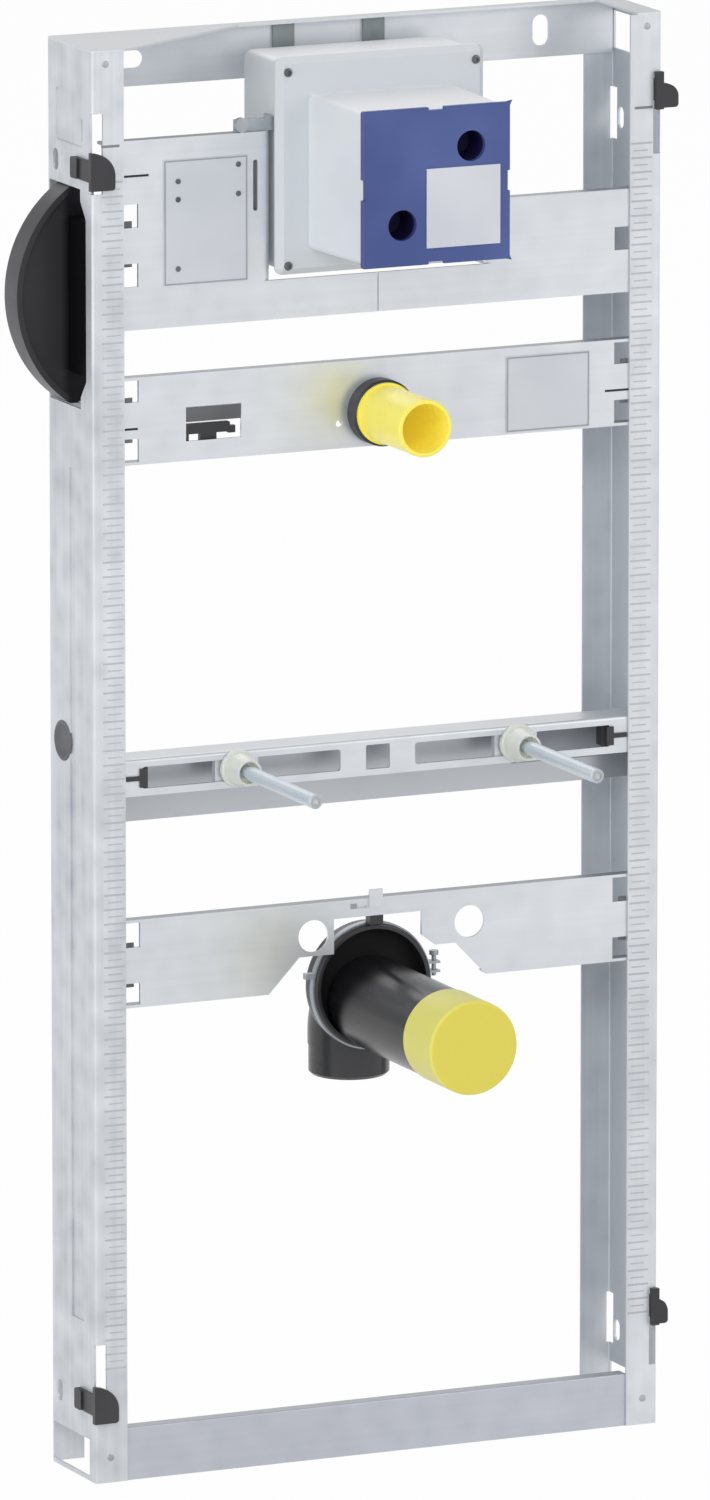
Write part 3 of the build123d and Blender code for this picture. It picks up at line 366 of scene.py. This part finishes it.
# plates: the eight corners of a unit block, stretched by each size and moved to each centre, in mm
def plates(centres, sizes):
    corner = np.array([(x, y, z) for x in (-0.5, 0.5) for y in (-0.5, 0.5) for z in (-0.5, 0.5)])
    centre, size = np.array(centres) * mm, np.array(sizes) * mm
    verts = centre[:, None, :] + corner[None] * size[:, None, :]
    quad = np.array([(0, 1, 3, 2), (4, 6, 7, 5), (0, 4, 5, 1), (2, 3, 7, 6), (0, 2, 6, 4), (1, 5, 7, 3)])
    faces = np.arange(len(centre))[:, None, None] * len(corner) + quad[None]
    return verts.reshape(-1, 3), faces.reshape(-1, 4)


# sheets across the frame: each has two ends in X, a depth behind the cross plates and two ends in Z
def sheets(spec):
    centres = [((a + b) / 2, platePlane / mm + y, (c + d) / 2) for a, b, y, c, d in spec["boxes"]]
    return plates(centres, [(b - a, spec["thick"], d - c) for a, b, y, c, d in spec["boxes"]])


# turned piece: a profile of (radius, height) in mm carried round an axis; radius turns by cosine and sine
# of the angle in the plane across the axis, height runs along it; the first and last ring get a flat cap
def turned(profile, spots, axis, steps):
    line, axis = np.array(profile, float) * mm, np.array(axis, float)
    across = np.array([1.0, 0, 0]) if abs(axis[0]) < 0.5 else np.array([0, 1.0, 0])
    other = np.cross(axis, across)
    angle = np.linspace(0, 2 * math.pi, steps, endpoint=False)
    ring = np.cos(angle)[:, None] * across + np.sin(angle)[:, None] * other
    one = line[:, 0, None, None] * ring[None] + line[:, 1, None, None] * axis
    spots = np.array(spots)
    verts = (spots[:, None, None, :] + one[None]).reshape(-1, 3)
    rows, k = len(line), np.arange(steps)
    after = (k + 1) % steps
    r = np.arange(rows - 1)[:, None] * steps
    quads = np.stack([r + k, r + after, r + steps + after, r + steps + k], -1).reshape(-1, 4)
    faces = []
    for start in np.arange(len(spots)) * rows * steps:
        faces += (quads + start).tolist()
        faces += [(start + k[::-1]).tolist(), (start + (rows - 1) * steps + k).tolist()]
    return verts, faces


def facePoints(y, pairs):
    return [(x * mm, y, z * mm) for x, z in pairs]


tipRadius = 0.05   # mm, where the profile of a turned piece ends at its axis

# printed scale on both post fronts
scale = {"low": 80, "high": 900, "step": 10, "longX": (-205.5, -189.8), "shortX": (-202.3, -191.8),
         "longTall": 1.3, "shortTall": 0.9, "thick": 0.06}


# a long line at each step up the post, a short one half a step above it; side mirrors X
def scaleMarks(name, side):
    zLong = np.arange(scale["low"], scale["high"] + 1, scale["step"], float)
    zShort = zLong[:-1] + scale["step"] / 2
    y = frontFace / mm - scale["thick"] / 2
    centres, sizes = [], []
    for heights, (x0, x1), tall in ((zLong, scale["longX"], scale["longTall"]),
                                    (zShort, scale["shortX"], scale["shortTall"])):
        centres += [(side * (x0 + x1) / 2, y, z) for z in heights]
        sizes += [(x1 - x0, scale["thick"], tall)] * len(heights)
    putPiece(name, plates(centres, sizes), "scaleInk")


scaleMarks("scale_left", 1)
scaleMarks("scale_right", -1)

# bold level line near the top of both scales
levelLine = {"z": 924.5, "x": (-205.7, -192.3), "tall": 1.8, "thick": 0.08}
lineX0, lineX1 = levelLine["x"]
lineY = frontFace / mm - levelLine["thick"] / 2
centres = [(side * (lineX0 + lineX1) / 2, lineY, levelLine["z"]) for side in (1, -1)]
sizes = [(lineX1 - lineX0, levelLine["thick"], levelLine["tall"])] * len(centres)
putPiece("level_lines", plates(centres, sizes), "scaleInkBold")
print("scales printed")

# rivet heads at the post corners: low domes, the radius falls by cosine and the height grows by sine
rivets = {"radius": 2.4, "rise": 0.9, "arc": 0.98, "rows": 7, "steps": 20,
          "xz": [(-202.5, 980.5), (-201.5, 17.5), (201.5, 980.5), (201.5, 18.5)]}
turn = np.linspace(0, math.pi / 2 * rivets["arc"], rivets["rows"])
dome = np.stack([rivets["radius"] * np.cos(turn), rivets["rise"] * np.sin(turn)], 1)
putPiece("corner_rivets", turned(dome, facePoints(frontFace, rivets["xz"]), toFront, rivets["steps"]),
         "zincSmall", True)

# screws on the box flange: pan head and a turned recess, both as shares of their radius and of the rise
boxScrews = {"radius": 3.0, "rise": 1.6, "recess": 1.4, "steps": 24,
             "head": [(1, 0), (1, 0.5), (0.86, 0.86), (0.6, 1)], "dip": [(1, 1), (0.8, 0.3)], "floor": 0.25,
             "xz": [(-70, 834.5), (70, 834.5), (-70, 967), (70, 967)]}
panHead = [(boxScrews["radius"] * a, boxScrews["rise"] * b) for a, b in boxScrews["head"]]
panHead += [(boxScrews["recess"] * a, boxScrews["rise"] * b) for a, b in boxScrews["dip"]]
panHead += [(tipRadius, boxScrews["rise"] * boxScrews["floor"])]
putPiece("box_screws", turned(panHead, facePoints(flangeFace, boxScrews["xz"]), toFront, boxScrews["steps"]),
         "screwDark")

# pins on the ear plate, as shares of radius and rise
pins = {"radius": 1.9, "rise": 0.7, "steps": 16, "line": [(1, 0), (1, 0.6), (0.8, 1), (0.02, 1)],
        "xz": [(-148.9, 897.1), (-148.9, 884.7), (-104.3, 905.9), (-104.3, 885.9), (-149.0, 837.3)]}
pinLine = np.array(pins["line"]) * [pins["radius"], pins["rise"]]
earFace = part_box("ear_plate")[0].y
putPiece("plate_pins", turned(pinLine, facePoints(earFace, pins["xz"]), toFront, pins["steps"]),
         "screwDark")

# pinch screw through the two lugs of the drain clamp: shank, then a flat head
pinch = {"inset": 3.2, "low": 329.5, "shank": 14.5, "radius": 1.6, "head": 3.2, "headTall": 3.0, "steps": 20}
topZ = pinch["shank"] + pinch["headTall"]
screwLine = [(pinch["radius"], 0), (pinch["radius"], pinch["shank"]), (pinch["head"], pinch["shank"]),
             (pinch["head"], topZ), (tipRadius, topZ)]
clampLow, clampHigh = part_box("drain_clamp")
spot = (clampHigh.x - pinch["inset"] * mm, (clampLow.y + clampHigh.y) / 2, pinch["low"] * mm)
putPiece("pinch_screw", turned(screwLine, [spot], up, pinch["steps"]), "zincSmall")

# rubber plug in the round fixing hole of the left web: rim, then a dished face, as inset and height
webPlug = {"y": 52.0, "z": 509.0, "radius": 13.9, "steps": 36, "middle": -1.8,
           "line": [(0, -3.0), (0, 0.4), (0.6, 0.8), (2.2, 0.6), (3.2, -1.5)]}
plugLine = [(webPlug["radius"] - inset, height) for inset, height in webPlug["line"]]
plugLine += [(tipRadius, webPlug["middle"])]
spot = (webFace, frontFace + webPlug["y"] * mm, webPlug["z"] * mm)
putPiece("web_plug", turned(plugLine, [spot], toLeft, webPlug["steps"]), "shadeGrey", True)

# thin grey border raised on the two bare plates, partly print and partly painted shade: a printed frame on
# the inlet label plate, painted shade of the recess edge round the ear plate; two level bars, two upright
# bars between them
border = {"wide": 0.9, "thick": 0.25, "inset": 0.5}
barWide, barThick, edge = border["wide"], border["thick"], border["inset"]
centres, sizes = [], []
for node in ("ear_plate", "inlet_label_plate"):
    low, high = [np.array(v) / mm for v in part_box(node)]
    barX, barY, barZ = (low[0] + high[0]) / 2, low[1] - barThick / 2, (low[2] + high[2]) / 2
    reach = edge + barWide / 2
    centres += [(barX, barY, z) for z in (low[2] + reach, high[2] - reach)]
    sizes += [(high[0] - low[0] - 2 * edge, barThick, barWide)] * 2
    centres += [(x, barY, barZ) for x in (low[0] + reach, high[0] - reach)]
    sizes += [(barWide, barThick, high[2] - low[2] - 2 * edge - 2 * barWide)] * 2
putPiece("plate_borders", plates(centres, sizes), "borderGrey")

# dark tips of the spring tabs that grip the posts, seen beside the plate ends
tips = {"depth": 1.4, "wide": 5.5, "thick": 1.2, "highTall": 4.5, "lowTall": 2.25,
        "high": [(-185.0, 749.0), (186.0, 749.0), (-185.0, 373.0), (186.0, 373.0), (-185.0, 869.8)],
        "low": [(-185.0, 721.5), (186.0, 721.5), (-185.0, 345.5), (186.0, 345.5), (-185.0, 841.9)]}
centres = [(x, platePlane / mm + tips["depth"], z) for x, z in tips["high"] + tips["low"]]
sizes = [(tips["wide"], tips["thick"], tips["highTall"])] * len(tips["high"])
sizes += [(tips["wide"], tips["thick"], tips["lowTall"])] * len(tips["low"])
putPiece("tab_tips", plates(centres, sizes), "shadeGrey")

# shaded floors of the narrow slits: two at the inlet plate's ends, one at the ear
slits = {"thick": 0.15, "boxes": [(-189.0, -178.6, 0.9, 729.05, 730.55), (171.1, 189.0, 0.9, 729.05, 730.55),
                                  (-189.0, -170.1, 0.9, 902.05, 903.55)]}
putPiece("slit_floors", sheets(slits), "slitShade")

# dark grey sheets of painted shade: over the upper half of the inlet plate's window, and behind the slot in
# the ear
shadeSheets = {"thick": 0.3, "boxes": [(-142.8, -102.2, 0.45, 731.5, 741.2), (-94.1, -88.6, 2.4, 872.0, 909.0)]}
putPiece("window_shade_sheets", sheets(shadeSheets), "shadeGrey")

# grey patches of painted shade: at the end of the pressed groove beside the drain plate's tab, and on the
# back of the stud rail behind its right slot
shadePatches = {"thick": 0.15, "boxes": [(-20.6, -15.8, -0.05, 384.3, 388.0), (113.0, 188.0, 25.6, 470.0, 499.0)]}
putPiece("grey_shade_patches", sheets(shadePatches), "borderGrey")

# pale core just inside the open tips of the studs: a short drum with one flat face
cores = {"radius": 2.35, "long": 3.0, "inset": 0.25, "steps": 24}
coreLine = [(cores["radius"], -cores["long"]), (cores["radius"], 0), (tipRadius, 0)]
spots = []
for low, high in (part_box("stud_left"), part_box("stud_right")):
    spots.append(((low.x + high.x) / 2, low.y + cores["inset"] * mm, (low.z + high.z) / 2))
putPiece("stud_cores", turned(coreLine, spots, toFront, cores["steps"]), "milkySleeve")

# blind cups behind the finger holes of the cover: floor, inner wall, rim, outer wall, underside
cups = {"radius": 10.4, "wall": 1.4, "depth": 24.0, "offset": 25.5, "steps": 40}
coverLow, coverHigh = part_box("box_cover")
coverZ = (coverLow.z + coverHigh.z) / 2
inner, outer = cups["radius"], cups["radius"] + cups["wall"]
cupFloor = cups["depth"] - cups["wall"]
cupLine = [(tipRadius, cupFloor), (inner, cupFloor), (inner, 0), (outer, 0),
           (outer, cups["depth"]), (tipRadius, cups["depth"])]
offsets = [side * cups["offset"] * mm for side in (-1, 1)]
spots = [(offset, coverHigh.y, coverZ + offset) for offset in offsets]
putPiece("finger_cups", turned(cupLine, spots, toBack, cups["steps"]), "cupBlue")
print("small pieces placed")


# one for what the camera sees straight, in gloss or through clear stuff
def seenRays(tree):
    path = addNode(tree, "ShaderNodeLightPath").outputs
    straight = addNode(tree, "ShaderNodeMath", operation="MAXIMUM")
    every = addNode(tree, "ShaderNodeMath", operation="MAXIMUM")
    tree.links.new(path["Is Camera Ray"], straight.inputs[0])
    tree.links.new(path["Is Glossy Ray"], straight.inputs[1])
    tree.links.new(straight.outputs[0], every.inputs[0])
    tree.links.new(path["Is Transmission Ray"], every.inputs[1])
    return every.outputs[0]


def blendShaders(tree, share, plain, seen, target):
    blend = addNode(tree, "ShaderNodeMixShader")
    tree.links.new(share, blend.inputs["Fac"])
    tree.links.new(plain, blend.inputs[1])
    tree.links.new(seen, blend.inputs[2])
    tree.links.new(blend.outputs[0], target.inputs["Surface"])


# floor: pale and matt for light, nearly white where it is seen
stageFloor = {"reach": 60.0, "colour": (0.85, 0.86, 0.87, 1), "rough": 0.9, "whiteShare": 0.97}
mesh = bpy.data.meshes.new("studio_floor")
q = stageFloor["reach"]
mesh.from_pydata([(-q, -q, 0), (q, -q, 0), (q, q, 0), (-q, q, 0)], [], [(0, 1, 2, 3)])
floor = bpy.data.objects.new("studio_floor", mesh)
scene.collection.objects.link(floor)
floor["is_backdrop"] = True
floorWhite = bpy.data.materials.new("floorWhite")
floorWhite.use_nodes = True
tree = floorWhite.node_tree
matt = tree.nodes["Principled BSDF"]
matt.inputs["Base Color"].default_value = stageFloor["colour"]
matt.inputs["Roughness"].default_value = stageFloor["rough"]
glow = addNode(tree, "ShaderNodeEmission")
share = addNode(tree, "ShaderNodeMath", operation="MULTIPLY")
share.inputs[1].default_value = stageFloor["whiteShare"]
tree.links.new(seenRays(tree), share.inputs[0])
blendShaders(tree, share.outputs[0], matt.outputs[0], glow.outputs[0], tree.nodes["Material Output"])
mesh.materials.append(floorWhite)

# backdrop: white where it is seen, soft light elsewhere
backdrop = {"colour": (1, 1, 1, 1), "light": 0.5, "seen": 1.0}
world = bpy.data.worlds.new("studio")
scene.world = world
world.use_nodes = True
tree = world.node_tree
sky = tree.nodes["Background"]
sky.inputs["Color"].default_value = backdrop["colour"]
sky.inputs["Strength"].default_value = backdrop["light"]
white = addNode(tree, "ShaderNodeBackground")
white.inputs["Strength"].default_value = backdrop["seen"]
blendShaders(tree, seenRays(tree), sky.outputs[0], white.outputs[0], tree.nodes["World Output"])

# soft square lamps, all aimed at the middle of the frame
lampTarget = (0, 0, 0.5)
lamps = {
    "keyLeft": {"at": (-2.6, -4.2, 3.2), "size": 2.6, "power": 60},
    "fillLeft": {"at": (-4.6, -1.6, 1.0), "size": 2.4, "power": 44},
    "fillRight": {"at": (3.2, -3.6, 2.2), "size": 2.6, "power": 40},
    "backHigh": {"at": (0.6, 3.2, 3.4), "size": 2.6, "power": 30},
}
for name, spec in lamps.items():
    lamp = bpy.data.lights.new(name, "AREA")
    lamp.size = spec["size"]
    lamp.energy = spec["power"]
    stand = bpy.data.objects.new(name, lamp)
    scene.collection.objects.link(stand)
    stand.location = spec["at"]
    aim = np.array(lampTarget) - np.array(spec["at"])
    level = math.hypot(aim[0], aim[1])
    stand.rotation_euler = (math.atan2(level, -aim[2]), 0, math.atan2(-aim[0], aim[1]))

# camera at the photo's angle: turned to the left front, a little above; its place is from the post fronts
shot = {"at": (-4.5256, -9.8045, 2.656), "down": 11.322, "turn": 24.691,
        "lens": 387.12, "sensor": 36, "far": 200}
camera = bpy.data.cameras.new("shot_camera")
camera.lens = shot["lens"]
camera.sensor_width = shot["sensor"]
camera.clip_end = shot["far"]
tripod = bpy.data.objects.new("shot_camera", camera)
scene.collection.objects.link(tripod)
tripod.location = (shot["at"][0], shot["at"][1] + frontFace, shot["at"][2])
tripod.rotation_euler = (math.radians(90 - shot["down"]), 0, math.radians(-shot["turn"]))
scene.camera = tripod
scene.view_settings.view_transform = "Standard"
print("stage and camera set")

low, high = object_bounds()
